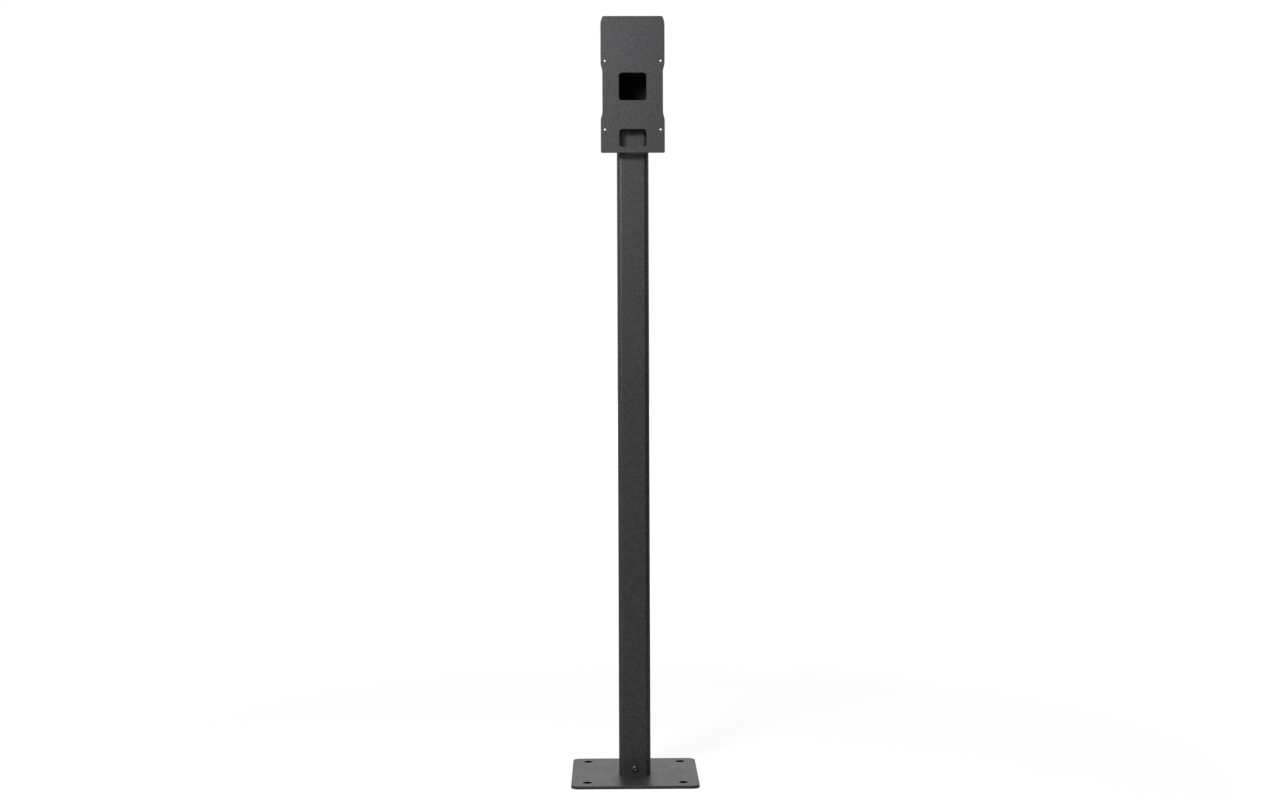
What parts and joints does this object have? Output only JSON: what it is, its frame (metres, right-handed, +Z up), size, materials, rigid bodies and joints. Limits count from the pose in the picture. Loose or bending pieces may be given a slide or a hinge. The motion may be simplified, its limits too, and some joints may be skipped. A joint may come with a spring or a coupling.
{
  "type": "gate intercom post",
  "caption": "Square steel post on a bolted foot plate, with a short neck and a waisted upright plate with cable windows that carries a gate intercom station.",
  "frame": {"origin": "centre of the foot plate's underside, on the ground", "axes": "+Z up along the post, -Y the front that the head plate faces, +X to the right seen from the front"},
  "size_m": [0.2032, 0.2032, 1.2192],
  "materials": {
    "base_coat": "fine texture black powder coat",
    "post_coat": "fine texture black powder coat",
    "head_coat": "fine texture black powder coat",
    "socket_coat": "fine texture black powder coat",
    "weld_coat": "powder coat over the weld bead",
    "nut_zinc": "zinc plated",
    "screw_black": "black oxide"
  },
  "bodies": {
    "root": {"base_plate": "base_coat", "foot_socket": "socket_coat", "socket_weld": "weld_coat", "foot_nut": "nut_zinc", "foot_screw": "screw_black", "post_tube": "post_coat", "neck_tube": "post_coat", "corner_weld": "weld_coat", "head_weld": "weld_coat", "head_plate": "head_coat"}
  },
  "joints": []
}
